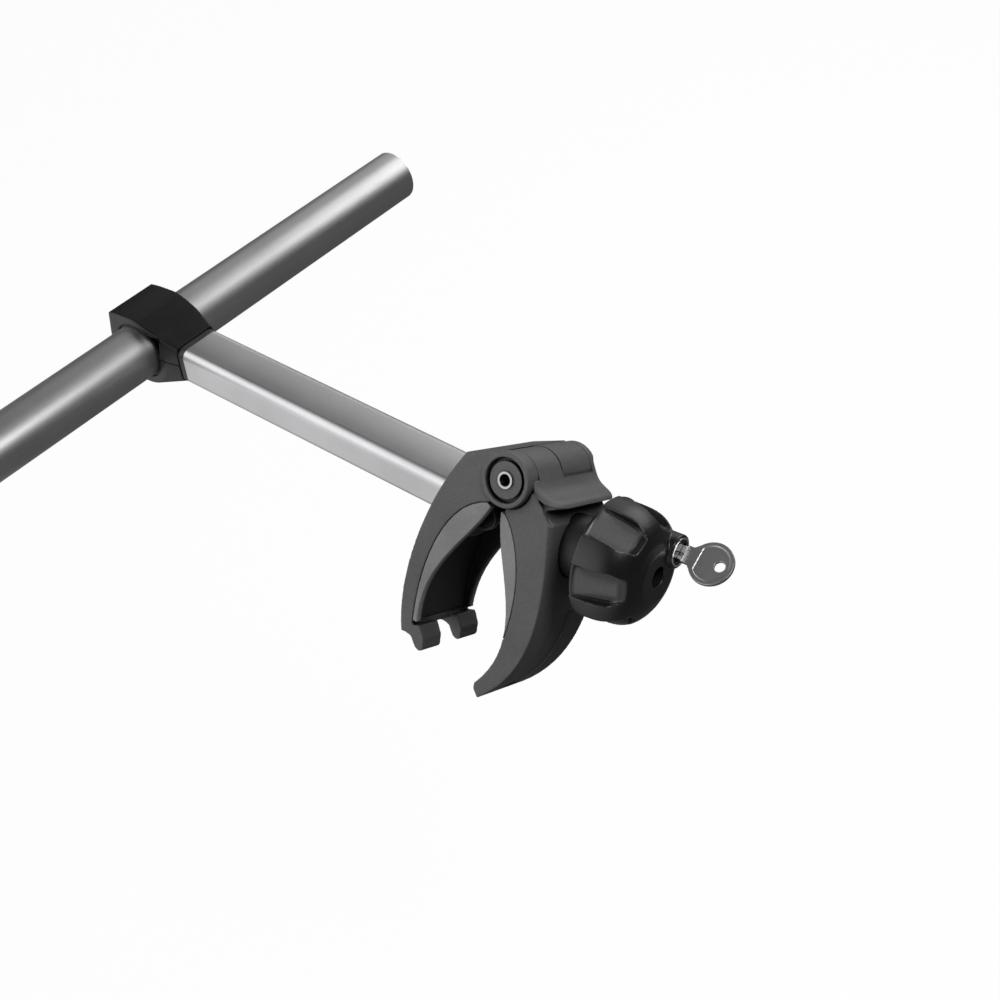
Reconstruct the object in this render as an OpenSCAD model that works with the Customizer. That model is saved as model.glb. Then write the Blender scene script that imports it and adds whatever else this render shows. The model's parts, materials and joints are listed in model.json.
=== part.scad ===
// Lockable bicycle frame holder: a clamping jaw on an arm, on a stretch of the carrier's hoop.
// The origin lies on the hoop's axis under the arm. X runs along the arm, Y along the hoop.

/* [Hoop] */
// Outside diameter of the hoop tube
hoop_d = 32; // [28:0.5:36]
// Wall of the hoop tube
hoop_wall = 1.5; // [1.2:0.1:3]
// Hoop length on the near side of the arm
hoop_near = 150; // [130:5:300]
// Hoop length on the far side of the arm
hoop_far = 205; // [130:5:300]

/* [Collar] */
// Width of the collar along the hoop
collar_w = 33.5; // [32:0.5:44]
// Thickness of the plastic liner between hoop and collar
liner_t = 1.2; // [1:0.1:2.5]
// Least wall of the collar round the liner
collar_wall = 4.8; // [4:0.1:6.5]
// Rise of the collar's crown above its least wall, set back
collar_crown = -0.5; // [-1:0.1:2]
// Height of the parting plane between the shells
collar_split = 1; // [0:0.1:2]
// Diameter of the pin that joins the shells
collar_pin_d = 3; // [2.5:0.1:3.2]
// Diameter of the clamp screw
clamp_d = 6; // [5:0.1:6.5]

/* [Arm] */
// Arm section along the hoop
arm_w = 28; // [26:0.5:32]
// Height of the arm section
arm_h = 23; // [21:0.5:26]
// Wall of the arm tube
arm_wall = 2; // [1.5:0.1:2.5]
// Corner radius of the arm section
arm_corner = 5; // [4:0.25:7]
// Distance from the hoop's axis to the start of the tube
arm_start = 36; // [35:0.5:42]
// Length of the arm tube
arm_len = 197; // [120:1:400]
// Thickness of the bush flange at the collar
bush_flange = 4; // [2:0.25:4.5]
// Shank diameter of the blind rivets
rivet_d = 4.8; // [4:0.1:5]

/* [Swivel] */
// Angle at which the head is turned on the arm
head_turn = -30; // [-60:5:60]
// Diameter of the swivel spigot
spigot_d = 16; // [14:0.5:18]
// Thickness of the swivel hub
hub_t = 8; // [6:0.5:9]
// Thickness of the end plug's flange
plug_flange = 2.5; // [2:0.25:4]
// Diameter of the swivel screw
swivel_d = 6; // [5:0.5:7]

/* [Jaws] */
// Width of the fixed jaw
jaw_w = 60; // [56:1:68]
// Width of the swinging jaw
swing_w = 55; // [52:1:56]
// Depth of the fixed jaw below the hinge
jaw_depth = 101; // [97:1:110]
// Thickness of the jaws' side plates
plate_t = 3.5; // [3:0.1:4.5]
// Thickness of the jaws' back wall
back_t = 5; // [4:0.25:6]
// Thickness of the pads' floor
pad_t = 2.75; // [2:0.25:3.5]
// Width of the pads' lips
pad_lip = 5; // [4.6:0.1:6.5]
// Width of the notch between the two fingers
notch_w = 17; // [12:1:22]

/* [Hinge] */
// Diameter of the hinge barrel
barrel_d = 28; // [26:0.5:29]
// Outside diameter of the tubular rivet
pivot_d = 8.5; // [8:0.25:10]
// Bore of the tubular rivet
pivot_bore = 6.2; // [5:0.2:6.6]
// Diameter of the pivot discs
disc_d = 18.5; // [17:0.5:20]
// Width of the front ear
ear_w = 8; // [7:0.5:9]
// Width of the swinging jaw's main knuckle
knuckle_w = 21; // [18:0.5:22]
// Width of the fixed jaw's main knuckle
tongue_w = 26; // [24:0.5:27]

/* [Clamp rod] */
// Diameter of the threaded rod
rod_d = 8; // [6:0.5:8.5]
// Rise of the rod towards the knob, in degrees
rod_rise = 4.4; // [2:0.2:6]
// Diameter of the trunnion
trunnion_d = 10; // [9.5:0.25:10.5]
// Diameter of the thrust cup
cup_d = 32; // [30:0.5:33]
// Length of the cup's cylinder
cup_len = 13.7; // [12:0.1:15]

/* [Knob] */
// Diameter of the knob at its base
knob_d = 62.6; // [60:0.2:66]
// Length of the knob
knob_len = 31; // [30:0.5:32]
// Number of grip grooves
groove_count = 6; // [6:6]
// Width of a groove at the knob's base
groove_w = 17.2; // [14:0.2:18]
// Width of a groove at its front end
groove_end_w = 10.8; // [8:0.2:12]
// Diameter of the hole in the knob's front
front_hole_d = 10.8; // [9.2:0.2:11.2]
// Thickness of the knob's base plate
base_t = 3; // [2.6:0.1:3.2]

/* [Lock and key] */
// Distance from the knob's axis to the lock's axis
lock_off = 17; // [16.6:0.1:18]
// Diameter of the lock barrel
lock_d = 15; // [13:0.25:15]
// Diameter of the lock housing
housing_d = 17.25; // [17:0.25:19]
// How far the lock stands beyond the knob's front
lock_proud = 2; // [1.5:0.5:5]
// Diameter of the key's bow
bow_d = 22.5; // [18:0.5:26]
// Thickness of the key
key_t = 2.1; // [1.6:0.1:2.2]
// Diameter of the hole in the key's bow
key_hole_d = 5.5; // [3:0.5:7]

/* [Fits] */
// Radial running clearance of shafts and pins
run = 0.05; // [0.02:0.01:0.08]
// Gap between moving faces
gap = 0.3; // [0.2:0.05:0.4]
// Gap between moulded parts that meet
seam = 0.25; // [0.1:0.05:0.3]

/* [Hidden] */
$fn = 64;

hoop_r = hoop_d / 2;
liner_r = hoop_r + liner_t;
collar_r = liner_r + collar_wall;
collar_top = collar_r + collar_crown;
collar_end = arm_start - bush_flange;
pin_wall = 1.3;
collar_pin_x = -(liner_r + collar_pin_d / 2 + pin_wall + 0.35);
knuckle_split = 6;

neck_w = arm_w - 8;
neck_h = arm_h - 8;
neck_x = liner_r + 2.3;
clamp_x = arm_start - 10.2;
clamp_head_d = 10;
clamp_head_h = 3.5;
clamp_seat = neck_h / 2 + 2;
nut_flats = 10;
nut_h = 3;

arm_end = arm_start + arm_len;
insert_len = 26;
rivet_in = 12;
rivet_head_d = 8;
rivet_head_h = 1.2;

hinge_ahead = 38.2;
hinge_x = arm_end + hinge_ahead;
hinge_up = 23.8;
hub_x = -hinge_ahead + plug_flange + gap;
hub_end = hub_x + hub_t;
hub_r = 22;
sweep_gap = 0.7;
sweep_r = norm([arm_w, arm_h]) / 2 + sweep_gap;
washer_t = 1.5;
washer_r = spigot_d / 2 + 2.5;
seat_gap = 0.25;
screw_head_t = 2.2;

jaw_hw = jaw_w / 2;
swing_hw = swing_w / 2;
jaw_slope = 0.061;
barrel_r = barrel_d / 2;
pivot_r = pivot_d / 2;
disc_r = disc_d / 2;
disc_t = 2.6;
front_sink = 0.2;
back_sink = 0.9;
ring_proud = 0.8;
disc_gap = 2;
disc_lift = 0.4;
rivet_proud = 0.8;
far = 150;

// Ends of the hinge's knuckles, from the front face to the back
ear_end = -jaw_hw + ear_w;
knuckle_end = ear_end + knuckle_w;
tongue_end = knuckle_end + tongue_w;

// Control points of the jaws' curves, X and height from the hinge
in_back = [[-26, 4], [-40, -22], [-52, -0.673 * jaw_depth], [-40.5, -jaw_depth]];
in_leaf = [[-6, -14], [-32, -22], [-41, -0.614 * jaw_depth], [-34.3, -0.988 * jaw_depth]];
in_edge = [[-4.7, -16], [-14, -40], [-40, -0.614 * jaw_depth], [-31.5, -0.96 * jaw_depth]];
out_depth = jaw_depth + 12.3;
out_back = [[27, -13], [32, -48], [40, -0.75 * out_depth], [9.8, -out_depth]];
out_leaf = [[1, -15.5], [14, -26], [22, -50], [18.4, -78]];
out_edge = [[0, -17], [3, -45], [33, -0.635 * out_depth], [8.2, -0.949 * out_depth]];
out_edge_t = 0.71;
in_round = 1.8;
out_round = 4.5;
pad_top = -47;
liner_top = -55.6;
end_wall = 0.925 * jaw_depth;
foot_gap = 1;

// Curved eave that runs from the barrel out over the thrust cup
eave_top = [[7.5, barrel_r - 2.4], [15.5, 5.5], [14, -2.6], [29, -1.2]];
eave_t = 3;
eave_corner = 11;

rod_r = rod_d / 2;
trunnion_x = -17.5;
base_x = 47;
base_up = -24.1;
trunnion_s = (trunnion_x - base_x) / cos(rod_rise);
trunnion_up = base_up + trunnion_s * sin(rod_rise);
trunnion_len = 24;
rib_in = 8;
rib_t = 3.7;
rod_out = 24;

cup_r = cup_d / 2;
cup_c = -gap - cup_len;
sleeve_r = 11.5;
sleeve_end = 6;
notch_s = base_t + 0.2;
washer_s = sleeve_end + run;
washer_len = 0.5;
notch_in = 9.6;
notch_back = 1.9;
notch_len = 7.2;
rod_gap = 0.4;

knob_r = knob_d / 2;
dome_len = knob_len + 1.8;
dome_p = 3.65;
groove_base_r = knob_r - 6.9;
groove_slope = 4.9;
groove_len = knob_len - 3.2;
groove_taper = 8;
groove_r = 1.5;
wall_in = 6.5;
nut_s = washer_s + washer_len + run;
nut_flange_r = 9;
nut_flange_t = 3;
nut_r = 8;
nut_end = nut_s + nut_flange_t + 7;
boss_r = 11;
plate_r = groove_base_r - 2.2;
base_screw_r = plate_r - 3.8;
base_screw_d = 3;
base_head_r = 3;
base_head_t = 1.8;
base_screw_len = 12;

lock_turn = 46.5;
lock_face = knob_len + lock_proud;
barrel_s = 10;
cam_s = base_t + 0.4;
cam_t = 2.5;
tail_r = 3;
arm_reach = 7;
key_turn = -9;
bow_s = lock_face + 17.4;
hole_out = 4.6;
rim_w = 2;
rim_up = 0.3;
shoulder = lock_face + 2.5;
blade_w = 7.8;
neck_key_w = 9.2;
blade_tip = lock_face - 20;
keyway_w = 10.4;
keyway_t = key_t + 0.8;
plug_face_r = 5.9;

// Curve helpers: a cubic through its control points, shifted sideways by d
function curve_point(c, t) =
    c[0] * pow(1 - t, 3) + 3 * c[1] * t * pow(1 - t, 2) + 3 * c[2] * t * t * (1 - t) + c[3] * pow(t, 3);
function curve_slope(c, t) =
    (c[1] - c[0]) * pow(1 - t, 2) + 2 * (c[2] - c[1]) * t * (1 - t) + (c[3] - c[2]) * t * t;
function side(v) = [v[1], -v[0]] / norm(v);
function curve(c, d = 0, t0 = 0, t1 = 1, n = 14) =
    [for (i = [0:n]) let (t = t0 + (t1 - t0) * i / n) curve_point(c, t) + d * side(curve_slope(c, t))];
function backwards(p) = [for (i = [len(p) - 1:-1:0]) p[i]];
function dome_r(s) = knob_r * sqrt(1 - pow(s / dome_len, dome_p));

// Frames: the head is turned on the arm, and the rod rises towards the knob
module in_head() {
    translate([hinge_x, 0, 0]) rotate([head_turn, 0, 0]) translate([0, 0, hinge_up]) children();
}

module in_rod() {
    in_head() translate([base_x, 0, base_up]) rotate([0, 90 - rod_rise, 0]) children();
}

// A direction round the rod, counted from the head's top towards its back
module round_rod(turn) {
    rotate([0, 0, 180 - turn]) children();
}

// A side outline, drawn in X and Z, given a width along Y
module slab(y0, y1) {
    translate([0, y1, 0]) rotate([90, 0, 0]) linear_extrude(y1 - y0) children();
}

// A solid whose width narrows below the hinge
module wedge(hw) {
    low = -130;
    translate([-far, 0, 0]) rotate([90, 0, 90]) linear_extrude(2 * far)
        polygon([
            [-hw, 60], [hw, 60], [hw, 0],
            [hw + jaw_slope * low, low], [-hw - jaw_slope * low, low], [-hw, 0]
        ]);
}

module bar_x(x0, x1, r) {
    translate([x0, 0, 0]) rotate([0, 90, 0]) cylinder(h = x1 - x0, r = r);
}

module bar_y(y0, y1, r) {
    translate([0, y0, 0]) rotate([-90, 0, 0]) cylinder(h = y1 - y0, r = r);
}

module arm_section(grow) {
    w = arm_w + 2 * grow;
    h = arm_h + 2 * grow;
    r = max(arm_corner + grow, 0.5);
    for (sy = [-1, 1]) for (sz = [-1, 1])
        translate([sy * (w / 2 - r), sz * (h / 2 - r)]) circle(r = r);
    square([w - 2 * r, h], center = true);
    square([w, h - 2 * r], center = true);
}

module arm_bar(x0, x1, grow) {
    translate([x0, 0, 0]) rotate([90, 0, 90]) linear_extrude(x1 - x0) arm_section(grow);
}

module hoop_tube() {
    color([0.66, 0.66, 0.66]) difference() {
        bar_y(-hoop_near, hoop_far, hoop_r);
        bar_y(-hoop_near - 1, hoop_far + 1, hoop_r - hoop_wall);
    }
}

// Half of the plastic liner that grips the hoop
module liner_half(up) {
    half = collar_w / 2 - 1;
    intersection() {
        difference() {
            bar_y(-half, half, liner_r);
            bar_y(-half - 1, half + 1, hoop_r + run);
        }
        translate([-far, -half, up ? gap : -far]) cube([2 * far, 2 * half, far - gap]);
    }
}

module liner_upper() {
    color([0.08, 0.08, 0.08]) liner_half(true);
}

module liner_lower() {
    color([0.08, 0.08, 0.08]) liner_half(false);
}

// The outer form of both collar shells: a crowned block that runs down to the arm's section
module collar_form() {
    hw = collar_w / 2;
    roof = [
        [-collar_r + 1.3, collar_top - 2.7], [-6, collar_top + 0.9],
        [7, collar_top + 1.1], [collar_end, arm_h / 2 + 0.6]
    ];
    hull() {
        slab(-hw, hw) polygon(concat(
            curve(roof, 0, 0, 0.55, 8), [[-collar_r - 1.4, -5], [-collar_r - 2, collar_split]]
        ));
        slab(-hw + 0.8, hw - 0.8) polygon(concat(curve(roof, 0, 0.55, 0.8, 4), [[0, 0]]));
        bar_y(-hw, hw, collar_r - 0.3, $fn = 32);
        arm_bar(collar_end - gap - 0.5, collar_end - gap, 0.6, $fn = 32);
        slab(-arm_w / 2 + 0.8, arm_w / 2 - 0.8)
            translate([collar_end - gap - 0.5, 0]) square([0.5, arm_h / 2 + 0.6]);
    }
}

// Scoop in the collar's side between its bore and its cheek, under the edge of the roof
module side_scoop() {
    depth = 3.5;
    for (s = [-1, 1]) translate([0, s * (collar_w / 2 + 1 - (depth + 1) / 2), 0])
        slab(-(depth + 1) / 2, (depth + 1) / 2)
            polygon([[8, 15], [collar_end - 11, 16], [liner_r + 0.6, 2.6], [8, 2.6]]);
}

module collar_knuckle(y0, y1, r) {
    translate([collar_pin_x, 0, collar_split]) bar_y(y0, y1, r);
}

// One collar shell, with its bore, neck pocket and pin knuckles
module collar_shell(up) {
    hw = collar_w / 2;
    knuckle = collar_pin_d / 2 + pin_wall;
    difference() {
        union() {
            intersection() {
                collar_form();
                translate([-far, -far, up ? collar_split + gap / 2 : -far])
                    cube([2 * far, 2 * far, up ? far : far + collar_split - gap / 2]);
            }
            if (up) {
                collar_knuckle(-hw, -knuckle_split - gap / 2, knuckle);
                collar_knuckle(knuckle_split + gap / 2, hw, knuckle);
            } else {
                collar_knuckle(-knuckle_split + gap / 2, knuckle_split - gap / 2, knuckle);
            }
        }
        bar_y(-hw - 1, hw + 1, liner_r + run);
        translate([neck_x - seam, -neck_w / 2 - seam, -neck_h / 2 - seam])
            cube([collar_end, neck_w + 2 * seam, neck_h + 2 * seam]);
        collar_knuckle(-hw - 1, hw + 1, collar_pin_d / 2 + run);
        if (up) {
            collar_knuckle(-knuckle_split - gap / 2, knuckle_split + gap / 2, knuckle + gap);
            translate([clamp_x, 0, 0]) rotate([0, 0, 30])
                cylinder(h = neck_h / 2 + nut_h + 1, r = nut_flats / sqrt(3) + seam, $fn = 6);
            side_scoop();
        } else {
            collar_knuckle(-hw - 1, -knuckle_split + gap / 2, knuckle + gap);
            collar_knuckle(knuckle_split - gap / 2, hw + 1, knuckle + gap);
            translate([clamp_x, 0, -far]) cylinder(h = far, r = clamp_d / 2 + seam);
            translate([clamp_x, 0, -far - clamp_seat]) cylinder(h = far, r = clamp_head_d / 2 + seam);
        }
    }
}

module collar_upper() {
    color([0.12, 0.12, 0.12]) collar_shell(true);
}

module collar_lower() {
    color([0.14, 0.14, 0.14]) collar_shell(false);
}

module collar_pin() {
    color([0.6, 0.6, 0.62]) collar_knuckle(-collar_w / 2 + 1, collar_w / 2 - 1, collar_pin_d / 2);
}

module clamp_screw() {
    head_low = -clamp_seat - clamp_head_h;
    color([0.62, 0.62, 0.64]) translate([clamp_x, 0, 0]) difference() {
        union() {
            translate([0, 0, -clamp_seat]) cylinder(h = clamp_seat + neck_h / 2 + nut_h, r = clamp_d / 2);
            translate([0, 0, head_low]) cylinder(h = clamp_head_h, r = clamp_head_d / 2);
        }
        translate([0, 0, head_low - 1]) cylinder(h = 3.2, r = 2.9, $fn = 6);
    }
}

module clamp_nut() {
    color([0.62, 0.62, 0.64]) translate([clamp_x, 0, neck_h / 2 + 0.6]) difference() {
        rotate([0, 0, 30]) cylinder(h = nut_h, r = nut_flats / sqrt(3), $fn = 6);
        translate([0, 0, -1]) cylinder(h = nut_h + 2, r = clamp_d / 2 + run);
    }
}

// Bush that joins the arm tube to the collar: neck, flange and plug
module arm_bush() {
    color([0.1, 0.1, 0.1]) difference() {
        union() {
            translate([neck_x, -neck_w / 2, -neck_h / 2]) cube([collar_end - neck_x + 1, neck_w, neck_h]);
            arm_bar(collar_end, arm_start, 0);
            arm_bar(arm_start, arm_start + insert_len, -arm_wall - run);
        }
        translate([clamp_x, 0, -far]) cylinder(h = 2 * far, r = clamp_d / 2 + seam);
        rivet_holes();
    }
}

module rivet_places() {
    for (x = [arm_start + rivet_in, arm_end - rivet_in]) translate([x, 0, -arm_h / 2]) children();
}

module rivet_holes() {
    rivet_places() translate([0, 0, -1]) cylinder(h = 8, r = rivet_d / 2 + run);
}

module arm_tube() {
    color([0.64, 0.64, 0.65]) difference() {
        arm_bar(arm_start, arm_end, 0);
        arm_bar(arm_start - 1, arm_end + 1, -arm_wall);
        rivet_holes();
    }
}

module tube_rivets() {
    color([0.7, 0.7, 0.71]) rivet_places() {
        cylinder(h = 6.5, r = rivet_d / 2);
        translate([0, 0, -rivet_head_h])
            cylinder(h = rivet_head_h, r1 = rivet_head_d / 2 - 1, r2 = rivet_head_d / 2);
    }
}

// Plug in the arm's end, with the spigot on which the head turns
module end_plug() {
    color([0.1, 0.1, 0.1]) difference() {
        union() {
            arm_bar(arm_end - insert_len, arm_end, -arm_wall - run);
            arm_bar(arm_end, arm_end + plug_flange, 0);
            bar_x(arm_end, hinge_x + hub_end + seat_gap - run, spigot_d / 2);
        }
        bar_x(arm_end - insert_len - 1, hinge_x, swivel_d / 2 + run);
        rivet_holes();
    }
}

module swivel_washer() {
    x0 = hinge_x + hub_end + seat_gap;
    color([0.66, 0.66, 0.68]) difference() {
        bar_x(x0, x0 + washer_t, washer_r);
        bar_x(x0 - 1, x0 + washer_t + 1, swivel_d / 2 + run);
    }
}

module swivel_screw() {
    x0 = hinge_x + hub_end + seat_gap + run + washer_t;
    color([0.62, 0.62, 0.64]) difference() {
        union() {
            bar_x(x0 - 24, x0, swivel_d / 2);
            bar_x(x0, x0 + screw_head_t, swivel_d / 2 + 3);
        }
        translate([x0 + 0.8, 0, 0]) rotate([0, 90, 0]) cylinder(h = 5, r = 2.3, $fn = 6);
    }
}

// Fixed jaw: rounded outer form, narrowing wedge, and what is cut from it
module inner_outline(grow) {
    back = curve(in_back, grow, 0, 1, 20);
    polygon(concat(back, [curve_point(in_leaf, 1), [0, -barrel_r / 2], [0, barrel_r / 2]]));
    circle(r = barrel_r);
}

module inner_form() {
    intersection() {
        wedge(jaw_hw);
        hull() for (a = [0, 30, 60, 90]) {
            w = jaw_hw - in_round * (1 - cos(a));
            slab(-w, w) inner_outline(0.4 - in_round * (1 - sin(a)), $fn = 32);
        }
    }
}

module inner_mouth(shift) {
    difference() {
        polygon(concat(curve(in_leaf, -shift), [[-30, -130], [90, -130], [90, 0], [0, 0]]));
        circle(r = barrel_r);
    }
}

module inner_cavity() {
    difference() {
        polygon(concat(
            curve(in_back, -back_t, 0.14, 0.93),
            [[-30, -end_wall], [60, -end_wall], [60, -1], [-24, -1]]
        ));
        circle(r = barrel_r + 1.5);
    }
}

// One finger of the fork at the fixed jaw's tip
module finger_outline() {
    translate([0, 101 - jaw_depth]) {
        polygon([[-40.2, -97], [-38.6, -100.6], [-34.4, -101.2], [-30.2, -105.9], [-27.2, -105.6],
            [-25.6, -103.4], [-26.1, -99.4], [-30.5, -93.5]]);
        translate([-27.9, -104]) circle(r = 2.6);
    }
}

module fingers() {
    for (s = [-1, 1]) intersection() {
        slab(s > 0 ? notch_w / 2 : -jaw_hw, s > 0 ? jaw_hw : -notch_w / 2) finger_outline();
        wedge(jaw_hw);
    }
}

module trunnion_ribs(r) {
    difference() {
        for (y = [-rib_in - rib_t, rib_in]) slab(y, y + rib_t) translate([trunnion_x, trunnion_up]) {
            circle(r = r);
            translate([hub_end - trunnion_x - 0.5, -r]) square([trunnion_x - hub_end + 0.5, 2 * r]);
        }
        translate([0, 0, -hinge_up]) bar_x(hub_end, hub_end + seat_gap + washer_t + 0.5, washer_r + 0.5);
    }
}

module inner_jaw() {
    color([0.2, 0.2, 0.2]) in_head() difference() {
        union() {
            difference() {
                inner_form();
                slab(-far, far) inner_mouth(0);
                intersection() {
                    slab(-far, far) inner_cavity();
                    wedge(jaw_hw - plate_t);
                }
            }
            intersection() {
                inner_form();
                translate([0, 0, -hinge_up]) bar_x(-60, hub_end, hub_r);
            }
            fingers();
            trunnion_ribs(trunnion_d / 2 + 2);
            bar_y(-jaw_hw - ring_proud, -jaw_hw + 1, barrel_r - 0.3);
        }
        translate([0, 0, -hinge_up]) {
            bar_x(-80, hub_x, sweep_r);
            bar_x(-80, 0, spigot_d / 2 + run);
        }
        translate([trunnion_x, 0, trunnion_up])
            bar_y(-rib_in - rib_t - 1, rib_in + rib_t + 1, trunnion_d / 2 + run);
        bar_y(ear_end - seam / 2, knuckle_end + seam / 2, barrel_r + gap);
        bar_y(tongue_end - seam / 2, jaw_hw + 1, barrel_r + gap);
        bar_y(-jaw_hw - 1, jaw_hw, pivot_r + run);
        bar_y(-jaw_hw - 1, -jaw_hw + front_sink + disc_t + disc_lift, disc_r + disc_gap);
        slab(-notch_w / 2, notch_w / 2) translate([-60, -130]) square([60, 130 - end_wall - 3.5]);
    }
}

// Pad of the fixed jaw: lips on the side plates, thin liners and a floor on the back wall
module inner_pad() {
    color([0.3, 0.3, 0.3]) in_head() difference() {
        intersection() {
            wedge(jaw_hw);
            slab(-far, far) intersection() {
                polygon(concat(curve(in_back, -back_t - seam, 0.1, 0.97), backwards(curve(in_edge))));
                translate([-80, -end_wall + foot_gap]) square([80, end_wall - 14]);
            }
        }
        difference() {
            slab(-far, far) polygon(concat(curve(in_leaf, -seam), [[-60, -130], [-90, -50], [-60, 0]]));
            wedge(jaw_hw - plate_t - seam);
        }
        intersection() {
            wedge(jaw_hw - pad_lip);
            slab(-far, far) union() {
                polygon(concat(curve(in_back, -back_t - seam - pad_t), [[40, -130], [40, 0]]));
                translate([-80, pad_top]) square([120, 80]);
            }
        }
        translate([0, 0, -hinge_up]) bar_x(-80, hub_end + gap, hub_r + seam);
        difference() {
            translate([-80, -far, pad_top]) cube([120, 2 * far, 80]);
            slab(-far, far) inner_mouth(seam);
        }
    }
}

module pivot_rivet() {
    color([0.8, 0.8, 0.82]) in_head() difference() {
        bar_y(-jaw_hw + front_sink - rivet_proud, jaw_hw - back_sink + rivet_proud, pivot_r);
        bar_y(-jaw_hw - 1, jaw_hw + 1, pivot_bore / 2);
    }
}

module pivot_discs() {
    back_disc = jaw_hw - back_sink - disc_t + disc_lift;
    color([0.22, 0.22, 0.22]) in_head() for (y = [-jaw_hw + front_sink, back_disc]) difference() {
        bar_y(y, y + disc_t, disc_r);
        bar_y(y - 1, y + disc_t + 1, pivot_r + run);
    }
}

// Swinging jaw: rounded outer form, eave over the thrust cup, and what is cut from it
module outer_outline(grow) {
    back = curve(out_back, -grow, 0, 1, 20);
    polygon(concat([[2, -barrel_r], [9, 2], [14, -1.5], [20, -6]], back, [[7.8, -out_depth + 2.9]]));
}

module outer_form() {
    intersection() {
        wedge(swing_hw);
        hull() for (a = [0, 22.5, 45, 67.5, 90]) {
            w = swing_hw - out_round * (1 - cos(a));
            slab(-w, w) outer_outline(2.4 - out_round * (1 - sin(a)));
        }
    }
}

module outer_mouth(shift) {
    polygon(concat(
        curve(out_leaf, shift), curve(out_edge, shift, out_edge_t, 1, 6), [[-60, -150], [-60, 0], [0, 0]]
    ));
}

// Side of the eave over the thrust cup, with its rounded lip
module eave_outline() {
    lip = curve_point(eave_top, 1) - [0, eave_t];
    polygon(concat(curve(eave_top), [lip, [24, -6.6], [18, -14], [4, -6], [4, 8]]));
    translate(curve_point(eave_top, 1) - [0, eave_t / 2]) circle(r = eave_t / 2);
}

// The eave itself, with its corners rounded in plan
module eave() {
    front = -swing_hw + 1;
    reach = eave_top[3][0] + eave_t / 2;
    intersection() {
        slab(front, jaw_hw) eave_outline();
        translate([0, 0, -far]) linear_extrude(2 * far) {
            translate([-far, front]) square([far + reach - eave_corner, jaw_hw - front]);
            translate([-far, front + eave_corner]) square([far + reach, jaw_hw - front - 2 * eave_corner]);
            for (y = [front + eave_corner, jaw_hw - eave_corner])
                translate([reach - eave_corner, y]) circle(r = eave_corner);
        }
    }
}

// Path of the rod through the swinging jaw, wide enough for the rod's swing
module rod_slot() {
    c = [base_x, base_up] + cup_c * [cos(rod_rise), sin(rod_rise)];
    slab(-rod_r - 0.6, rod_r + 0.6) polygon([
        c + [0, -rod_r], c + [0, rod_r], [-3, -16.4], [-8, -16.4], [-8, -38]
    ]);
}

module cup_seat() {
    in_seat = gap + 0.1;
    translate([base_x, 0, base_up]) rotate([0, 90 - rod_rise, 0]) translate([0, 0, cup_c]) {
        sphere(r = cup_r + in_seat);
        cylinder(h = 20, r1 = cup_r + in_seat, r2 = cup_r + 5);
    }
}

module outer_cavity() {
    polygon(concat(
        curve(out_back, back_t, 0.4, 0.86), [[0, -0.86 * out_depth], [-20, -70], [0, -52], [18, -50]]
    ));
}

module outer_jaw() {
    color([0.2, 0.2, 0.2]) in_head() difference() {
        union() {
            difference() {
                outer_form();
                slab(-far, far) outer_mouth(0);
                intersection() {
                    slab(-far, far) outer_cavity();
                    wedge(swing_hw - plate_t);
                }
                slab(-8, 8) polygon(concat(
                    curve(out_back, -1.4, 0.45, 0.96), backwards(curve(out_back, -4, 0.45, 0.96))
                ));
            }
            bar_y(ear_end + seam / 2, knuckle_end - seam / 2, barrel_r - 0.2);
            bar_y(tongue_end + seam / 2, jaw_hw, barrel_r - 0.2);
            eave();
        }
        bar_y(-jaw_hw - 1, ear_end + seam / 2, barrel_r + gap);
        bar_y(knuckle_end - seam / 2, tongue_end + seam / 2, barrel_r + gap);
        bar_y(-jaw_hw - 1, jaw_hw + 1, pivot_r + run);
        bar_y(jaw_hw - back_sink - disc_t, jaw_hw + 1, disc_r + disc_gap);
        cup_seat();
        rod_slot();
    }
}

module outer_pad() {
    color([0.3, 0.3, 0.3]) in_head() difference() {
        intersection() {
            wedge(swing_hw);
            slab(-far, far) intersection() {
                polygon(concat(backwards(curve(out_back, back_t + seam, 0.05, 0.93)), curve(out_edge)));
                translate([-20, -0.84 * out_depth]) square([80, 0.84 * out_depth - 15.5]);
            }
        }
        difference() {
            translate([-80, -far, -130]) cube([170, 2 * far, 130]);
            slab(-far, far) outer_mouth(seam);
            intersection() {
                wedge(swing_hw - plate_t - seam);
                translate([-60, -far, -130]) cube([120, 2 * far, 130 + liner_top]);
            }
        }
        intersection() {
            wedge(swing_hw - pad_lip);
            slab(-far, far) union() {
                polygon(concat(curve(out_back, back_t + seam + pad_t), [[-60, -130], [-60, 0]]));
                translate([-60, pad_top]) square([120, 80]);
            }
        }
    }
}

module clamp_rod() {
    color([0.6, 0.6, 0.62]) in_rod() translate([0, 0, trunnion_s - rod_r])
        cylinder(h = rod_out - trunnion_s + rod_r, r = rod_r);
}

module trunnion() {
    color([0.62, 0.6, 0.55]) in_head() difference() {
        translate([trunnion_x, 0, trunnion_up]) bar_y(-trunnion_len / 2, trunnion_len / 2, trunnion_d / 2);
        translate([base_x, 0, base_up]) rotate([0, 90 - rod_rise, 0]) translate([0, 0, trunnion_s - 20])
            cylinder(h = 40, r = rod_r + run);
    }
}

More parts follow.
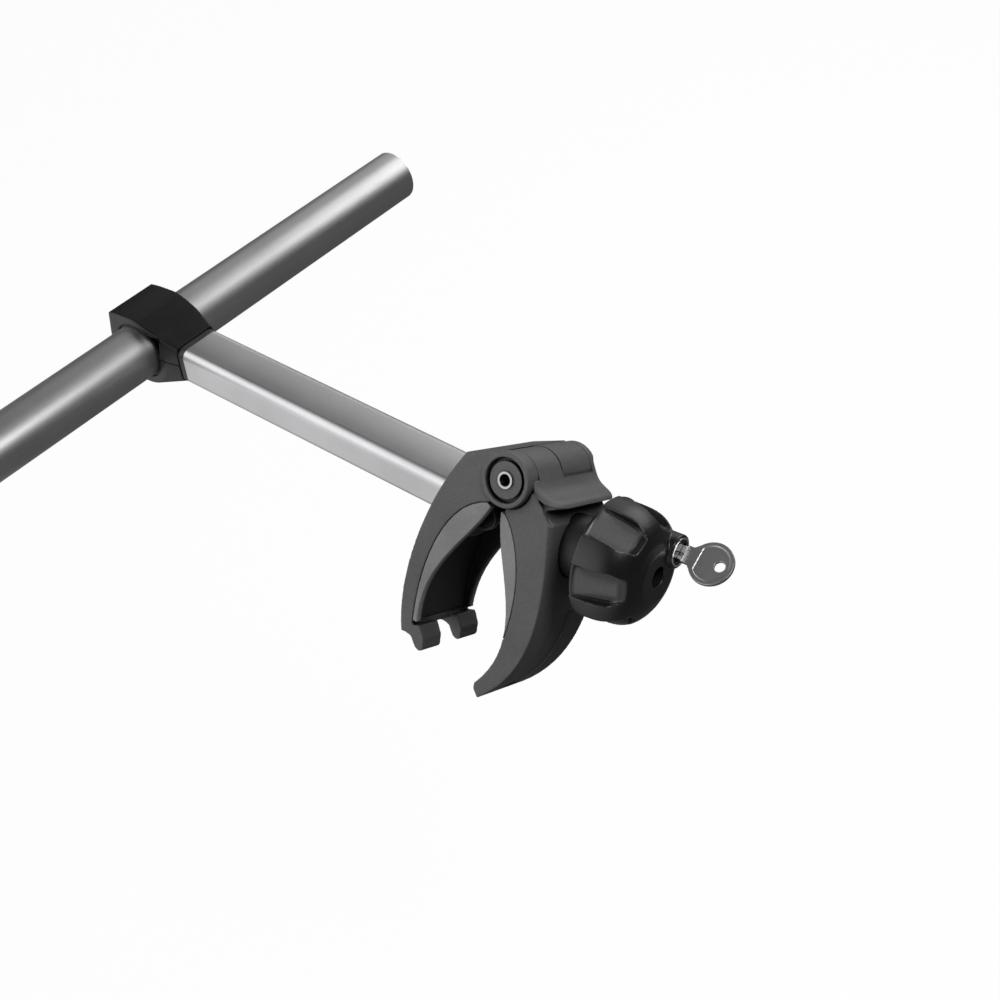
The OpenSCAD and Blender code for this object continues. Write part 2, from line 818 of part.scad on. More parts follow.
// Cup that turns the knob's thrust into the swinging jaw, with a notched sleeve for the lock
module thrust_cup() {
    pole_r = 6;
    pole_s = cup_c - sqrt(cup_r * cup_r - pole_r * pole_r);
    color([0.24, 0.24, 0.24]) in_rod() difference() {
        rotate_extrude() polygon(concat(
            [[rod_r + rod_gap, pole_s]],
            [for (i = [0:12]) let (a = asin(pole_r / cup_r) + (90 - asin(pole_r / cup_r)) * i / 12)
                [cup_r * sin(a), cup_c - cup_r * cos(a)]],
            [[cup_r, -gap - 1], [cup_r - 1, -gap], [sleeve_r, -gap], [sleeve_r, sleeve_end]],
            [[rod_r + rod_gap, sleeve_end]]
        ));
        for (k = [0:5]) round_rod(lock_turn + 60 * k)
            translate([notch_in, -notch_back, notch_s]) cube([4, notch_len, sleeve_end]);
    }
}

module thrust_washer() {
    color([0.66, 0.66, 0.68]) in_rod() translate([0, 0, washer_s]) difference() {
        cylinder(h = washer_len, r = nut_flange_r - 0.5);
        translate([0, 0, -1]) cylinder(h = 3, r = rod_r + rod_gap);
    }
}

// A grip groove: a flat floor that slopes inwards and runs out on the dome, drawn in at its end
module groove() {
    r = groove_r;
    translate([groove_base_r, 0, 0]) rotate([0, -groove_slope, 0]) rotate([90, 0, 90]) linear_extrude(16) {
        polygon([
            [-groove_w / 2, -3], [groove_w / 2, -3], [groove_w / 2, groove_len - groove_taper],
            [groove_end_w / 2, groove_len - r], [-groove_end_w / 2, groove_len - r],
            [-groove_w / 2, groove_len - groove_taper]
        ]);
        translate([-groove_end_w / 2 + r, 0]) square([groove_end_w - 2 * r, groove_len]);
        for (s = [-1, 1]) translate([s * (groove_end_w / 2 - r), groove_len - r]) circle(r = r);
    }
}

module base_screw_places() {
    for (k = [1, 3, 5]) round_rod(lock_turn + 60 * k) translate([base_screw_r, 0, 0]) children();
}

module knob_shell() {
    steps = 15;
    color([0.16, 0.16, 0.16]) in_rod() difference() {
        union() {
            difference() {
                rotate_extrude() polygon(concat(
                    [[0, 0], [knob_r - 1, 0]],
                    [for (i = [0:steps])
                        let (s = 0.8 + (knob_len - 0.8) * pow(i / steps, 0.8)) [dome_r(s), s]],
                    [[0, knob_len]]
                ));
                for (k = [0:groove_count - 1])
                    round_rod(lock_turn + 360 / groove_count * (k + 0.5)) groove();
                difference() {
                    rotate_extrude() polygon([
                        [0, -1], [plate_r + seam, -1], [plate_r + seam, base_t], [plate_r - 1.5, base_t],
                        [lock_off - 1.5, knob_len - wall_in - 1], [0, knob_len - wall_in - 1]
                    ]);
                    translate([0, 0, nut_s]) cylinder(h = 40, r = boss_r);
                    base_screw_places() translate([0, 0, base_t]) cylinder(h = 20, r = base_head_r + 0.4);
                }
            }
            round_rod(lock_turn) translate([lock_off, 0, barrel_s - 2]) {
                cylinder(h = lock_face - barrel_s + 1.5, r = housing_d / 2);
                translate([0, 0, lock_face - barrel_s + 1.5])
                    cylinder(h = 0.5, r1 = housing_d / 2, r2 = housing_d / 2 - 0.5);
            }
        }
        translate([0, 0, nut_s - 1]) cylinder(h = nut_flange_t + 1, r = nut_flange_r + run);
        translate([0, 0, nut_s]) cylinder(h = nut_end - nut_s, r = nut_r + run);
        cylinder(h = 60, r = front_hole_d / 2);
        round_rod(lock_turn) translate([lock_off, 0, 0]) {
            cylinder(h = 60, r = lock_d / 2 + run);
        }
        base_screw_places() cylinder(h = base_screw_len + 2, r = base_screw_d / 2 + run);
    }
}

module knob_nut() {
    color([0.72, 0.58, 0.3]) in_rod() difference() {
        union() {
            translate([0, 0, nut_s]) cylinder(h = nut_flange_t, r = nut_flange_r);
            translate([0, 0, nut_s]) cylinder(h = nut_end - nut_s, r = nut_r);
        }
        translate([0, 0, nut_s - 1]) cylinder(h = 40, r = rod_r + run);
    }
}

module knob_base() {
    color([0.13, 0.13, 0.13]) in_rod() difference() {
        cylinder(h = base_t, r = plate_r);
        translate([0, 0, -1]) cylinder(h = 10, r = sleeve_r + sweep_gap);
        base_screw_places() {
            translate([0, 0, -1]) cylinder(h = 10, r = base_screw_d / 2 + run);
            translate([0, 0, -1]) cylinder(h = base_head_t + 1.1, r = base_head_r + 0.2);
        }
    }
}

module knob_screws() {
    color([0.6, 0.6, 0.62]) in_rod() base_screw_places() difference() {
        union() {
            translate([0, 0, 0.1]) cylinder(h = base_head_t, r = base_head_r);
            translate([0, 0, 0.1]) cylinder(h = base_screw_len, r = base_screw_d / 2);
        }
        for (a = [0, 90]) rotate([0, 0, a]) translate([-1.6, -0.35, -1]) cube([3.2, 0.7, 2]);
    }
}

module in_lock() {
    in_rod() round_rod(lock_turn) translate([lock_off, 0, 0]) children();
}

// Lock barrel with its keyway and the tail that carries the cam
module lock_barrel() {
    color([0.75, 0.75, 0.77]) in_lock() difference() {
        union() {
            translate([0, 0, barrel_s]) cylinder(h = lock_face + 0.3 - barrel_s, r = lock_d / 2);
            translate([0, 0, cam_s - 0.1]) cylinder(h = barrel_s - cam_s + 1, r = tail_r);
        }
        rotate([0, 0, -key_turn]) translate([-keyway_w / 2, -keyway_t / 2, blade_tip - 1])
            cube([keyway_w, keyway_t, 60]);
        translate([0, 0, lock_face - 0.5]) difference() {
            cylinder(h = 2, r = plug_face_r + 0.6);
            translate([0, 0, -1]) cylinder(h = 4, r = plug_face_r);
        }
    }
}

module lock_cam() {
    color([0.6, 0.6, 0.62]) in_lock() translate([0, 0, cam_s]) difference() {
        union() {
            cylinder(h = cam_t, r = tail_r + 1.4);
            rotate([0, 0, -90]) translate([-arm_reach, -1.5, 0]) cube([arm_reach, 3, cam_t]);
        }
        translate([0, 0, -1]) cylinder(h = cam_t + 2, r = tail_r + run);
    }
}

// The key's outline, drawn along the lock's axis
module key_outline() {
    difference() {
        union() {
            translate([-blade_w / 2, blade_tip]) square([blade_w, bow_s - blade_tip]);
            translate([-neck_key_w / 2, shoulder]) square([neck_key_w, bow_s - shoulder]);
            polygon([
                [-neck_key_w / 2, shoulder + 3.5], [neck_key_w / 2, shoulder + 3.5],
                [bow_d * 0.34, bow_s - bow_d * 0.36], [-bow_d * 0.34, bow_s - bow_d * 0.36]
            ]);
            translate([0, bow_s]) circle(r = bow_d / 2);
        }
        translate([0, bow_s + hole_out]) circle(r = key_hole_d / 2);
        for (k = [0:3])
            translate([blade_w / 2 + 0.4, blade_tip + 3 + 4 * k]) rotate(45) square(1.6, center = true);
    }
}

// Key with a milled blade, and with shallow fields inside its bow's rim
module key() {
    field_r = bow_d / 2 - rim_w;
    color([0.42, 0.42, 0.42]) in_lock() rotate([0, 0, -key_turn]) rotate([90, 0, 0]) difference() {
        translate([0, 0, -key_t / 2]) linear_extrude(key_t) key_outline();
        for (s = [-1, 1]) translate([0, 0, s * key_t / 2]) {
            linear_extrude(2 * rim_up, center = true) intersection() {
                translate([0, bow_s]) circle(r = field_r);
                translate([-field_r, bow_s - field_r * 0.78]) square(2 * field_r);
            }
            translate([-0.7 + s, blade_tip - 1, -0.6]) cube([1.4, shoulder - blade_tip + 1, 1.2]);
        }
    }
}

hoop_tube();
liner_upper();
liner_lower();
collar_upper();
collar_lower();
collar_pin();
clamp_screw();
clamp_nut();
arm_bush();
arm_tube();
tube_rivets();
end_plug();
swivel_washer();
swivel_screw();
inner_jaw();
inner_pad();
pivot_rivet();
pivot_discs();
outer_jaw();
outer_pad();
clamp_rod();
trunnion();
thrust_cup();
thrust_washer();
knob_shell();
knob_nut();
knob_base();
knob_screws();
lock_barrel();
lock_cam();
key();
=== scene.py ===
import json
import math

import bmesh
import bpy
from mathutils import Matrix, Vector


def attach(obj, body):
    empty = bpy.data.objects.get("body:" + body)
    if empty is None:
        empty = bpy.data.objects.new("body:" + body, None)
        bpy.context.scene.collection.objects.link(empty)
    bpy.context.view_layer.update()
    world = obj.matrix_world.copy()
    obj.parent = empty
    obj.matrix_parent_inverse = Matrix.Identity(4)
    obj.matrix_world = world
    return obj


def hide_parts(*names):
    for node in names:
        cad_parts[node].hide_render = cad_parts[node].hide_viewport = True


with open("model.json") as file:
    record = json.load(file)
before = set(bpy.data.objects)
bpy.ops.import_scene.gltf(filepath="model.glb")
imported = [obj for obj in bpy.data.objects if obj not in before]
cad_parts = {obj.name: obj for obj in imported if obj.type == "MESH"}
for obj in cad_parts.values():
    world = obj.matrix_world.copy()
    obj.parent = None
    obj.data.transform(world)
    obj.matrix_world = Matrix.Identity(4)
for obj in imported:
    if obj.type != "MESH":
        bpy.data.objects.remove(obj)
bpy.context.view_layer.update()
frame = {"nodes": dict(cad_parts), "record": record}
nodes = frame["nodes"]
MM = 0.001

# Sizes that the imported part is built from, in millimetres.
# The jaws' hinge: along the arm, above its axis, and the head's turn on the arm
HINGE_X, HINGE_UP, HEAD_TURN = 271.2, 23.8, math.radians(-30)
# The hinge's barrel, and where its knuckles meet along the hinge
BARREL_R = 14
KNUCKLE_ENDS = (-22, -1, 25)
# Half widths of the two jaws at the hinge, and how much they lose per millimetre below it
JAW_HW, SWING_HW, JAW_SLOPE = 30.0, 27.5, 0.061
# The knob's base from the hinge, and the rod's rise
BASE_X, BASE_UP, ROD_RISE = 47.0, -24.1, math.radians(4.4)
# The knob: its radius, its dome's length and power, and the turn and width of its grooves
KNOB_R, DOME_LEN, DOME_P, GROOVE_TURN, GROOVE_HW = 31.3, 32.8, 3.65, math.radians(43.5), 8.6
# The lock: its turn round the knob's axis, its distance from it, and the radius of its plug
LOCK_TURN, LOCK_OFF, PLUG_R = math.radians(133.5), 17, 5.9
# The swinging jaw's eave: control points of its upper curve, its reach, front and back, and its plan corners
EAVE = ((7.5, 11.6), (15.5, 5.5), (14, -2.6), (29, -1.2))
EAVE_REACH, EAVE_FRONT, EAVE_BACK, EAVE_CORNER = 30.5, -26.5, 30, 11
# The floor lies below the knob at every pose, in metres
FLOOR_Z, FLOOR_HALF = -0.43, 6


# Objects and meshes
def placed(name, data):
    """A new object in the scene."""
    ob = bpy.data.objects.new(name, data)
    bpy.context.scene.collection.objects.link(ob)
    return ob


def mesh_of(bm, name):
    mesh = bpy.data.meshes.new(name)
    bm.to_mesh(mesh)
    bm.free()
    return mesh


# Camera at the photograph's place
camera = placed("camera", bpy.data.cameras.new("camera"))
right = Vector((0.77623, 0.62628, -0.07238))
up = Vector((-0.38337, 0.56004, 0.73442))
forward = Vector((-0.50049, 0.54234, -0.67482))
camera.matrix_world = Matrix((
    (right.x, up.x, -forward.x, 0.66870),
    (right.y, up.y, -forward.y, -0.45000),
    (right.z, up.z, -forward.z, 0.56265),
    (0, 0, 0, 1),
))
camera.data.lens = 59.54
camera.data.sensor_width = 36
camera.data.sensor_fit = "HORIZONTAL"
camera.data.clip_start = 0.01
bpy.context.scene.camera = camera
bpy.context.scene.view_settings.view_transform = "Standard"


# Frames of the turned head and of the tilted rod
HEAD = (
    Matrix.Translation((HINGE_X * MM, 0, 0))
    @ Matrix.Rotation(HEAD_TURN, 4, "X")
    @ Matrix.Translation((0, 0, HINGE_UP * MM))
    @ Matrix.Scale(MM, 4)
)
ROD = HEAD @ Matrix.Translation((BASE_X, 0, BASE_UP)) @ Matrix.Rotation(math.pi / 2 - ROD_RISE, 4, "Y")
ROD_AXES = [(ROD.to_3x3() @ Vector(axis)).normalized() for axis in ((1, 0, 0), (0, 1, 0), (0, 0, 1))]


# Materials
class Tree:
    """A material's nodes, with short ways to add and join them."""

    def __init__(self, name):
        self.material = bpy.data.materials.new(name)
        self.material.use_nodes = True
        self.nodes = self.material.node_tree.nodes
        self.links = self.material.node_tree.links
        self.nodes.clear()
        self.out = self.add("OutputMaterial")
        self.shader = self.add("BsdfPrincipled")
        self.links.new(self.shader.outputs[0], self.out.inputs[0])
        self.place = self.add("TexCoord").outputs["Object"]

    def add(self, kind, **values):
        node = self.nodes.new("ShaderNode" + kind)
        for key, value in values.items():
            setattr(node, key, value)
        return node

    def put(self, socket, value):
        if hasattr(value, "links"):
            self.links.new(value, socket)
        else:
            socket.default_value = value

    def noise(self, scale, detail=2.0, rough=0.5, stretch=None):
        place = self.place
        if stretch:
            mapping = self.add("Mapping")
            self.put(mapping.inputs["Vector"], place)
            mapping.inputs["Scale"].default_value = stretch
            place = mapping.outputs[0]
        node = self.add("TexNoise")
        self.put(node.inputs["Vector"], place)
        for key, number in (("Scale", scale), ("Detail", detail), ("Roughness", rough)):
            node.inputs[key].default_value = number
        return node.outputs["Fac"]

    def span(self, value, low, high, to_low=0.0, to_high=1.0):
        """A value carried over from one range to another, and kept within it."""
        node = self.add("MapRange")
        self.put(node.inputs["Value"], value)
        for key, number in (("From Min", low), ("From Max", high), ("To Min", to_low), ("To Max", to_high)):
            node.inputs[key].default_value = number
        return node.outputs[0]

    def mix(self, factor, a, b):
        node = self.add("Mix", data_type="RGBA")
        self.put(node.inputs[0], factor)
        for socket, value in ((node.inputs[6], a), (node.inputs[7], b)):
            self.put(socket, value if hasattr(value, "links") else (*value, 1))
        return node.outputs[2]

    def maths(self, operation, a, b=0.0):
        node = self.add("Math", operation=operation)
        self.put(node.inputs[0], a)
        self.put(node.inputs[1], b)
        return node.outputs[0]

    def vector(self, operation, *values):
        node = self.add("VectorMath", operation=operation)
        for socket, value in zip(node.inputs, values):
            self.put(socket, value)
        return node.outputs["Value" if operation in ("DOT_PRODUCT", "LENGTH") else "Vector"]

    def bevel(self, radius):
        node = self.add("Bevel", samples=6)
        node.inputs["Radius"].default_value = radius
        return node.outputs[0]

    def bump(self, height, strength, distance, normal):
        node = self.add("Bump")
        for key, value in (("Height", height), ("Strength", strength), ("Distance", distance), ("Normal", normal)):
            self.put(node.inputs[key], value)
        return node.outputs[0]

    def painted_hollow_shade(self, reach, low, high, dark):
        """Painted shade: from dark in crevices that are reach wide, in millimetres, to 1 in the open."""
        node = self.add("AmbientOcclusion", samples=4)
        node.inputs["Distance"].default_value = reach * MM
        return self.span(node.outputs["AO"], low, high, dark, 1.0)

    def edge(self, bevelled, low=0.01, high=0.12):
        """1 on sharp edges, where the rounded normal leaves the surface's own."""
        alike = self.vector("DOT_PRODUCT", bevelled, self.add("NewGeometry").outputs["Normal"])
        return self.span(self.maths("SUBTRACT", 1.0, alike), low, high)


def shade(colour, factor):
    """A colour made paler or darker."""
    return tuple(min(1.0, c * factor) for c in colour)


# How much fine specks and wide patches lighten and darken a colour
PLASTIC_SPECK, PLASTIC_PATCH, METAL_PATCH = 0.16, 0.12, 0.06


def plastic(name, colour, rough, grain, depth, bevel, rub_and_highlight=0.35, specular=0.5, inside=None, edges=2.4, hollow_shade_depth=0.0):
    """Moulded plastic, with a grain of this scale and depth in millimetres.

    bevel: radius of the shaded edges, in millimetres; rub_and_highlight: share of the edges made paler, partly by
    rubbing and partly as a painted highlight;
    edges: how much paler those edges are; inside: a mask and its colour; hollow_shade_depth: depth of the painted
    shade in wide recesses.
    """
    t = Tree(name)
    rounded = t.bevel(bevel * MM)
    fine = t.noise(grain, 3.0, 0.6)
    coarse = t.noise(grain * 0.28, 2.0, 0.5)
    height = t.maths("ADD", fine, t.maths("MULTIPLY", coarse, 0.7))
    t.put(t.shader.inputs["Normal"], t.bump(height, 0.5, depth * MM, rounded))
    patches = t.span(t.noise(38, 4.0, 0.6), 0.3, 0.7)
    base = t.mix(patches, shade(colour, 1 - PLASTIC_PATCH), shade(colour, 1 + PLASTIC_PATCH))
    if inside:
        base = t.mix(inside[0](t), base, inside[1])
    level = t.span(t.noise(grain * 0.7, 2.0, 0.7), 0.3, 0.7, 1 - PLASTIC_SPECK, 1 + PLASTIC_SPECK)
    # Painted shade: crevices about 1.6 mm across are darkened on every plastic.
    level = t.maths("MULTIPLY", level, t.painted_hollow_shade(1.6, 0.45, 0.9, 0.25))
    # Painted shade: where asked, recesses up to 14 mm across are darkened further.
    if hollow_shade_depth:
        level = t.maths("MULTIPLY", level, t.painted_hollow_shade(14, 0.45, 0.93, 1 - hollow_shade_depth))
    specked_and_shaded = t.add("Mix", data_type="RGBA", blend_type="MULTIPLY")
    for socket, value in ((specked_and_shaded.inputs[0], 1.0), (specked_and_shaded.inputs[6], base), (specked_and_shaded.inputs[7], level)):
        t.put(socket, value)
    base = specked_and_shaded.outputs[2]
    # Edges made paler: partly rubbing, partly a painted highlight where edges would catch the light.
    rubbed_and_lit_edges = t.maths("MULTIPLY", t.edge(rounded), t.span(t.noise(260, 3.0), 0.35, 0.75, 0.15, 1.0))
    t.put(t.shader.inputs["Base Color"], t.mix(t.maths("MULTIPLY", rubbed_and_lit_edges, rub_and_highlight), base, shade(colour, edges)))
    t.put(t.shader.inputs["Roughness"], t.span(t.noise(90, 3.0), 0.25, 0.75, rough - 0.05, rough + 0.06))
    t.shader.inputs["Specular IOR Level"].default_value = specular
    return t.material


def metal(name, colour, rough, lines=None, grain=900, depth=0.01, bevel=0.2, crown=0, inside=None):
    """Bare metal, with fine marks of this scale and depth in millimetres.

    lines: how the marks are stretched along X, Y and Z; crown: radius of a slight bulge across Y, in metres;
    inside: a mask and its colour.
    """
    t = Tree(name)
    t.shader.inputs["Metallic"].default_value = 1.0
    rounded = t.bevel(bevel * MM)
    if crown:
        split = t.add("SeparateXYZ")
        t.put(split.inputs[0], t.place)
        y_squared = t.maths("MULTIPLY", split.outputs["Y"], split.outputs["Y"])
        sag = t.maths("MULTIPLY", y_squared, -0.5 / crown)
        rounded = t.bump(sag, 1.0, 1.0, rounded)
    marks = t.noise(1.0, 3.0, 0.6, stretch=lines) if lines else t.noise(grain, 3.0, 0.6)
    t.put(t.shader.inputs["Normal"], t.bump(marks, 0.4, depth * MM, rounded))
    patches = t.span(t.noise(24, 4.0, 0.6), 0.3, 0.7)
    base = t.mix(patches, shade(colour, 1 - METAL_PATCH), shade(colour, 1 + METAL_PATCH))
    if inside:
        base = t.mix(inside[0](t), base, inside[1])
    t.put(t.shader.inputs["Base Color"], base)
    t.put(t.shader.inputs["Roughness"], t.span(marks, 0.2, 0.8, rough - 0.04, rough + 0.06))
    return t.material


def head_place(t):
    """Distances in the turned head, along the jaws' width and up from the hinge, in metres."""
    across = t.vector("DOT_PRODUCT", t.place, (0, math.cos(HEAD_TURN), math.sin(HEAD_TURN)))
    height = t.vector("DOT_PRODUCT", t.place, (0, -math.sin(HEAD_TURN), math.cos(HEAD_TURN)))
    return across, t.maths("SUBTRACT", height, HINGE_UP * MM)


def shaded_pad_inside(half):
    """1 on a pad's floor and liners, which are painted dark as the shade inside the jaws' mouth; 0 on the lips over
    side plates that lie half apart.
    """
    def mask(t):
        across, height = head_place(t)
        inset = t.maths("SUBTRACT", t.maths("ABSOLUTE", across), t.maths("MULTIPLY", height, JAW_SLOPE))
        return t.span(inset, (half - 2) * MM, (half - 4) * MM)
    return mask


def knuckle_gap_shade(t):
    """1 along the lines between the hinge's knuckles, where the shade in their narrow gaps is painted as dark lines.
    """
    across, height = head_place(t)
    split = t.add("SeparateXYZ")
    t.put(split.inputs[0], t.place)
    along = t.maths("SUBTRACT", split.outputs["X"], HINGE_X * MM)
    out = t.maths("SQRT", t.maths("ADD", t.maths("MULTIPLY", along, along), t.maths("MULTIPLY", height, height)))

    def near(plane, far, close):
        """1 within close of a plane across the hinge, and 0 beyond far."""
        return t.span(t.maths("ABSOLUTE", t.maths("SUBTRACT", across, plane * MM)), far * MM, close * MM)

    lines = near(KNUCKLE_ENDS[0], 0.55, 0.2)
    for plane in KNUCKLE_ENDS[1:]:
        lines = t.maths("MAXIMUM", lines, near(plane, 0.55, 0.2))
    lines = t.maths("MULTIPLY", lines, t.span(out, (BARREL_R + 0.9) * MM, (BARREL_R + 0.5) * MM))
    # A painted dark band of shade round the barrel, just beyond its radius, along the middle knuckle.
    ring = t.maths("MULTIPLY", t.span(out, (BARREL_R + 0.1) * MM, (BARREL_R + 0.25) * MM),
                   t.span(out, (BARREL_R + 0.9) * MM, (BARREL_R + 0.6) * MM))
    middle = (KNUCKLE_ENDS[1] + KNUCKLE_ENDS[2]) / 2
    half = (KNUCKLE_ENDS[2] - KNUCKLE_ENDS[1]) / 2
    return t.maths("MAXIMUM", lines, t.maths("MULTIPLY", ring, near(middle, half + 0.1, half - 0.1)))


def lock_plug(t):
    """1 on the plug that turns in the lock's face, which is duller than the ring round it."""
    centre = ROD @ Vector((LOCK_OFF * math.cos(LOCK_TURN), LOCK_OFF * math.sin(LOCK_TURN), 0))
    away = t.vector("SUBTRACT", t.place, centre)
    out = t.vector("LENGTH", t.vector("CROSS_PRODUCT", away, ROD_AXES[2]))
    return t.span(out, (PLUG_R + 0.7) * MM, (PLUG_R + 0.4) * MM)


def groove_floors(t):
    """1 on the floors of the knob's grooves, which are coloured paler than the dome."""
    away = t.vector("SUBTRACT", t.place, ROD.translation)
    x, y, s = (t.vector("DOT_PRODUCT", away, axis) for axis in ROD_AXES)
    length_2 = t.vector("DOT_PRODUCT", away, away)
    out = t.maths("SQRT", t.maths("SUBTRACT", length_2, t.maths("MULTIPLY", s, s)))
    share = t.maths("DIVIDE", s, DOME_LEN * MM)
    dome = t.maths("SQRT", t.maths("SUBTRACT", 1.0, t.maths("POWER", share, DOME_P)))
    depth = t.maths("SUBTRACT", t.maths("MULTIPLY", dome, KNOB_R * MM), out)
    turned = t.maths("SUBTRACT", t.maths("ARCTAN2", y, x), GROOVE_TURN)
    across = t.maths("MULTIPLY", t.maths("PINGPONG", turned, math.radians(30)), out)
    mask = t.span(depth, 0.9 * MM, 1.6 * MM)
    for limit in (t.span(out, 21 * MM, 22 * MM), t.span(s, 24 * MM, 22 * MM),
                  t.span(across, (GROOVE_HW - 0.8) * MM, (GROOVE_HW - 1.5) * MM)):
        mask = t.maths("MULTIPLY", mask, limit)
    return mask


def pad(name, half):
    # The pad's inside is painted near-black, as the shade within the jaws' mouth.
    return plastic(name, (0.25, 0.25, 0.251), 0.65, 2400, 0.08, 0.4, rub_and_highlight=0.15, specular=0.35,
                   inside=(shaded_pad_inside(half), (0.018, 0.018, 0.018)))


# The materials
LOOKS = {
    "hoop_aluminium": metal("satin_hoop", (0.56, 0.56, 0.56), 0.40, grain=2100, depth=0.012, bevel=0.3),
    "arm_aluminium": metal("satin_arm", (0.57, 0.57, 0.58), 0.40, lines=(14, 900, 900), depth=0.006, bevel=0.3,
                           crown=0.09),
    "steel": metal("zinc_steel", (0.62, 0.62, 0.64), 0.3),
    "chrome": metal("lock_chrome", (0.66, 0.66, 0.68), 0.18, grain=600, depth=0.004, bevel=0.25,
                    inside=(lock_plug, (0.055, 0.055, 0.057))),
    "rivet": metal("rivet_steel", (0.33, 0.33, 0.34), 0.34, bevel=0.15),
    "black_steel": metal("black_steel", (0.10, 0.10, 0.105), 0.38),
    "brass": metal("brass", (0.72, 0.53, 0.27), 0.3),
    "nickel": metal("nickel_key", (0.37, 0.37, 0.365), 0.36, grain=1500, depth=0.008, bevel=0.25),
    # The jaw's colour carries painted shade: dark lines in the knuckle gaps and darkening in wide recesses.
    "jaw": plastic("jaw_plastic", (0.092, 0.092, 0.093), 0.52, 1700, 0.10, 0.5, specular=0.4,
                   inside=(knuckle_gap_shade, (0.006, 0.006, 0.006)), hollow_shade_depth=0.85),
    "inner_pad": pad("inner_pad_rubber", JAW_HW),
    "outer_pad": pad("outer_pad_rubber", SWING_HW),
    "collar": plastic("collar_plastic", (0.006, 0.006, 0.0063), 0.36, 2100, 0.04, 0.5, specular=0.34),
    "liner": plastic("liner_plastic", (0.006, 0.006, 0.006), 0.6, 2100, 0.03, 0.3, rub_and_highlight=0.1),
    "bush": plastic("bush_plastic", (0.028, 0.028, 0.029), 0.5, 2100, 0.04, 0.3),
    # The knob's edges carry a strong painted highlight, 22 times its colour, as the lit rims of its grooves.
    "knob": plastic("knob_plastic", (0.009, 0.009, 0.0095), 0.33, 1700, 0.035, 0.7, rub_and_highlight=1.0, edges=22,
                    specular=0.42, inside=(groove_floors, (0.085, 0.085, 0.085))),
    # The cup's colour carries painted shade in wide recesses.
    "cup": plastic("cup_plastic", (0.020, 0.020, 0.021), 0.5, 1900, 0.035, 0.5, hollow_shade_depth=0.8),
}
# What each node is made of; every other node is plain steel
MADE_OF = {
    "hoop_tube": "hoop_aluminium", "arm_tube": "arm_aluminium", "liner_upper": "liner", "liner_lower": "liner",
    "collar_upper": "collar", "collar_lower": "collar", "arm_bush": "bush", "end_plug": "bush",
    "inner_jaw": "jaw", "outer_jaw": "jaw", "pivot_discs": "jaw", "inner_pad": "inner_pad", "outer_pad": "outer_pad",
    "knob_shell": "knob", "knob_base": "knob", "thrust_cup": "cup", "knob_nut": "brass",
    "clamp_rod": "black_steel", "trunnion": "black_steel", "swivel_screw": "black_steel",
    "swivel_washer": "black_steel", "lock_barrel": "chrome", "pivot_rivet": "rivet", "key": "nickel",
}
for name, ob in nodes.items():
    ob.data.materials.clear()
    ob.data.materials.append(LOOKS[MADE_OF.get(name, "steel")])


# Moulded pieces
BODY_OF = {node: body for body, members in frame["record"]["behaviour"]["bodies"].items() for node in members}


def moulded(node, voxel, rounds, keep, extra=(), cut=None, shape=None):
    """A node's solid with its edges rounded as a mould or a punch leaves them.

    voxel: grid of the new mesh, in millimetres; rounds: rounds of smoothing; keep: share of the faces that is kept;
    extra: meshes joined to the solid; cut: a mesh taken from it; shape: a function that moves the mesh's points.
    """
    bm = bmesh.new()
    bm.from_mesh(nodes[node].data)
    bmesh.ops.remove_doubles(bm, verts=bm.verts, dist=1e-6)
    for mesh in extra:
        bm.from_mesh(mesh)
    ob = placed(node + "_moulded", mesh_of(bm, node + "_form"))
    if cut:
        tool = placed("cut", cut)
        away = ob.modifiers.new("cut", "BOOLEAN")
        away.operation = "DIFFERENCE"
        away.solver = "EXACT"
        away.object = tool
    remesh = ob.modifiers.new("remesh", "REMESH")
    remesh.mode = "VOXEL"
    remesh.voxel_size = voxel * MM
    remesh.use_smooth_shade = True
    soften = ob.modifiers.new("soften", "SMOOTH")
    soften.factor = 0.5
    soften.iterations = rounds
    thin = ob.modifiers.new("thin", "DECIMATE")
    thin.ratio = keep
    graph = bpy.context.evaluated_depsgraph_get()
    made = bpy.data.meshes.new_from_object(ob.evaluated_get(graph))
    ob.modifiers.clear()
    ob.data = made
    if shape:
        shape(made)
    if cut:
        bpy.data.objects.remove(tool)
    made.materials.clear()
    made.materials.append(LOOKS[MADE_OF[node]])
    made.polygons.foreach_set("use_smooth", [True] * len(made.polygons))
    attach(ob, BODY_OF[node])
    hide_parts(node)


def eave_point(t):
    """A point of the eave's upper curve, from the hinge's barrel to its reach."""
    shares = ((1 - t) ** 3, 3 * t * (1 - t) ** 2, 3 * t * t * (1 - t), t ** 3)
    return [sum(share * point[i] for share, point in zip(shares, EAVE)) for i in (0, 1)]


def prism(outline, place, low, high):
    """A solid on an outline of X and Y in a frame, from low to high along its Z."""
    bm = bmesh.new()
    rings = [[bm.verts.new(place @ Vector((x, y, z))) for x, y in outline] for z in (low, high)]
    bm.faces.new(rings[0])
    bm.faces.new(list(reversed(rings[1])))
    for i in range(len(outline)):
        j = (i + 1) % len(outline)
        bm.faces.new((rings[0][j], rings[0][i], rings[1][i], rings[1][j]))
    bmesh.ops.recalc_face_normals(bm, faces=bm.faces)
    return mesh_of(bm, "prism")


def lip_depth(t):
    """Depth of the lip's lower edge below the eave's upper curve."""
    return 1.7 + 1.3 * t


def eave_side(t, depth):
    """A point at a depth below the eave's upper curve."""
    x, u = eave_point(t)
    x2, u2 = eave_point(t + 0.001)
    length = math.hypot(x2 - x, u2 - u)
    return x + depth * (u2 - u) / length, u - depth * (x2 - x) / length


